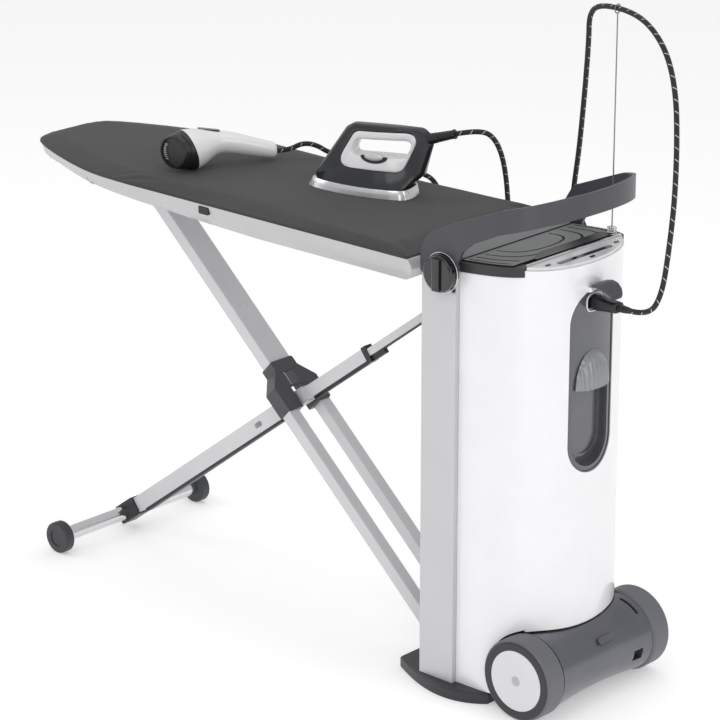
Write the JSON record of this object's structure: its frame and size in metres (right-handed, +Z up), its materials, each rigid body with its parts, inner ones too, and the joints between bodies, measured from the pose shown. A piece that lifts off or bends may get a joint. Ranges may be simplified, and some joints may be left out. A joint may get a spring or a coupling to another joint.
{
  "type": "steam ironing system",
  "caption": "Steam ironing system: a wheeled generator tower with removable water tank, folding board on crossed legs, steam iron and hand steamer, each on its hose.",
  "frame": {"origin": "On the floor, in the middle of the width, under the front face of the tower's column.", "axes": "+X from the board's nose to the tower, +Y to the far side of the board, +Z up."},
  "size_m": [1.5516, 0.5817, 1.2852],
  "materials": {
    "dark_plastic": "satin dark plastic",
    "charcoal": "satin charcoal plastic",
    "silver_column": "satin silver paint",
    "white_gloss": "glossy white",
    "steel": "brushed",
    "grey_silicone": "matt silicone",
    "bright_metal": "polished",
    "silver_panel": "glossy silver",
    "black_gloss": "glossy black",
    "smoke_plastic": "tinted gloss",
    "grip_plastic": "tinted gloss, ribbed",
    "drum_plastic": "metallic grey",
    "hose_braid": "braided textile",
    "wheel_rubber": "matt rubber",
    "dark_metal": "satin black paint",
    "silver_rim": "satin silver paint",
    "silver_leg": "satin silver paint",
    "cover_cloth": "padded woven cover",
    "iron_blue": "dark blue-grey gloss"
  },
  "bodies": {
    "tower": {"base_plate": "dark_plastic", "column": "silver_column", "column_cap": "dark_plastic", "housing": "white_gloss", "boiler": "steel", "rest_frame": "dark_plastic", "rest_mat": "grey_silicone", "rest_ridge": "bright_metal", "control_panel": "silver_panel", "display_window": "black_gloss", "carry_handle": "charcoal", "tank_bay": "smoke_plastic", "hose_plug": "dark_plastic", "mast_spring": "bright_metal", "hose_mast": "bright_metal", "drum": "drum_plastic", "iron_hose": "hose_braid", "steamer_hose": "hose_braid", "steamer_coil": "hose_braid", "steamer_plug": "dark_plastic", "hose_tie": "dark_plastic"},
    "near_knob_body": {"near_knob": "black_gloss"},
    "far_knob_body": {"far_knob": "black_gloss"},
    "near_wheel": {"near_tyre": "wheel_rubber", "near_wheel_disc": "white_gloss"},
    "far_wheel": {"far_tyre": "wheel_rubber", "far_wheel_disc": "white_gloss"},
    "tank": {"water_tank": "smoke_plastic", "tank_grip": "grip_plastic"},
    "flap": {"socket_flap": "dark_plastic"},
    "drum_button_body": {"drum_button": "drum_plastic"},
    "near_key_body": {"near_key": "silver_panel"},
    "middle_key_body": {"middle_key": "silver_panel"},
    "far_key_body": {"far_key": "silver_panel"},
    "carriage_body": {"carriage": "dark_metal"},
    "board": {"board_rim": "silver_rim", "board_rails": "dark_metal", "board_cover": "cover_cloth", "rim_catch": "dark_plastic"},
    "slider": {"slider_block": "dark_plastic"},
    "leg_a": {"leg_channel": "silver_leg", "hub": "charcoal", "near_rail": "silver_leg", "far_rail": "silver_leg"},
    "leg_b": {"leg_plank": "silver_leg", "leg_sleeve": "silver_leg", "leg_profile": "silver_leg", "sleeve_cap": "dark_plastic", "foot_clamp": "dark_plastic", "foot_tube": "bright_metal"},
    "near_foot_roller": {"near_roller": "wheel_rubber"},
    "far_foot_roller": {"far_roller": "wheel_rubber"},
    "iron": {"iron_sole": "steel", "iron_body": "iron_blue", "iron_frame": "silver_panel", "iron_sleeve": "dark_plastic"},
    "iron_button_body": {"iron_button": "bright_metal"},
    "steamer": {"steamer_head": "black_gloss", "steamer_body": "white_gloss"},
    "trigger_body": {"steamer_trigger": "black_gloss"}
  },
  "joints": [
    {"name": "carriage_slide", "type": "slide", "parent": "tower", "child": "carriage_body", "axis": [0, 0, -1], "range_m": [0, 0.6436]},
    {"name": "board_fold", "type": "hinge", "parent": "carriage_body", "child": "board", "pos_m": [-0.034, 0, 0.822], "axis": [0, 1, 0], "range_deg": [0, 90]},
    {"name": "slider_travel", "type": "slide", "parent": "board", "child": "slider", "axis": [-1, 0, 0], "range_m": [0, 0.10854]},
    {"name": "leg_a_fold", "type": "hinge", "parent": "slider", "child": "leg_a", "pos_m": [-0.873, 0, 0.775], "axis": [0, 1, 0], "range_deg": [-42.52, 0]},
    {"name": "leg_b_fold", "type": "hinge", "parent": "leg_a", "child": "leg_b", "pos_m": [-0.473, 0, 0.41], "axis": [0, 1, 0], "range_deg": [0, 76.78]},
    {"name": "near_foot_roll", "type": "hinge", "parent": "leg_b", "child": "near_foot_roller", "pos_m": [-0.975, 0, 0.033], "axis": [0, 1, 0], "continuous": true},
    {"name": "far_foot_roll", "type": "hinge", "parent": "leg_b", "child": "far_foot_roller", "pos_m": [-0.975, 0, 0.033], "axis": [0, 1, 0], "continuous": true},
    {"name": "near_wheel_roll", "type": "hinge", "parent": "tower", "child": "near_wheel", "pos_m": [0.245, -0.156, 0.079], "axis": [0, 1, 0], "continuous": true},
    {"name": "far_wheel_roll", "type": "hinge", "parent": "tower", "child": "far_wheel", "pos_m": [0.245, 0.156, 0.079], "axis": [0, 1, 0], "continuous": true},
    {"name": "near_knob_turn", "type": "hinge", "parent": "tower", "child": "near_knob_body", "pos_m": [0.057, -0.188, 0.823], "axis": [0, 1, 0], "range_deg": [-90, 90]},
    {"name": "far_knob_turn", "type": "hinge", "parent": "tower", "child": "far_knob_body", "pos_m": [0.057, 0.188, 0.823], "axis": [0, 1, 0], "range_deg": [-90, 90]},
    {"name": "tank_slide", "type": "slide", "parent": "tower", "child": "tank", "axis": [1, 0, 0], "range_m": [0, 0.12]},
    {"name": "flap_hinge", "type": "hinge", "parent": "tower", "child": "flap", "pos_m": [0.27, 0, 0.8], "axis": [0, -1, 0], "range_deg": [0, 60]},
    {"name": "drum_button_press", "type": "slide", "parent": "tower", "child": "drum_button_body", "axis": [-0.8192, 0, -0.5736], "range_m": [0, 0.003]},
    {"name": "near_key_press", "type": "slide", "parent": "tower", "child": "near_key_body", "axis": [0, 0, -1], "range_m": [0, 0.001]},
    {"name": "middle_key_press", "type": "slide", "parent": "tower", "child": "middle_key_body", "axis": [0, 0, -1], "range_m": [0, 0.001]},
    {"name": "far_key_press", "type": "slide", "parent": "tower", "child": "far_key_body", "axis": [0, 0, -1], "range_m": [0, 0.001]},
    {"name": "iron_park", "type": "hinge", "parent": "tower", "child": "iron", "pos_m": [-0.092, 0.362, 0.852], "axis": [-0.0096, 0, 1], "range_deg": [0, 71.5], "deforming": ["iron_hose"]},
    {"name": "iron_button_press", "type": "slide", "parent": "iron", "child": "iron_button_body", "axis": [-0.3173, 0.9483, 0], "range_m": [0, 0.0015]},
    {"name": "steamer_lift", "type": "slide", "parent": "tower", "child": "steamer", "axis": [0, 0, 1], "range_m": [0, 0.94], "deforming": ["steamer_hose"]},
    {"name": "trigger_press", "type": "slide", "parent": "steamer", "child": "trigger_body", "axis": [-0.0839, -0.152, -0.9848], "range_m": [0, 0.0015]}
  ],
  "couplings": [
    {"joint": "carriage_slide", "follows": "board_fold", "m_per_rad": 0.40973},
    {"joint": "slider_travel", "follows": "board_fold", "m_per_rad": 0.069098},
    {"joint": "leg_a_fold", "follows": "board_fold", "ratio": -0.47248},
    {"joint": "leg_b_fold", "follows": "board_fold", "ratio": 0.85306},
    {"joint": "iron_park", "follows": "board_fold", "ratio": 0.79444},
    {"joint": "steamer_lift", "follows": "board_fold", "m_per_rad": 0.59842}
  ]
}
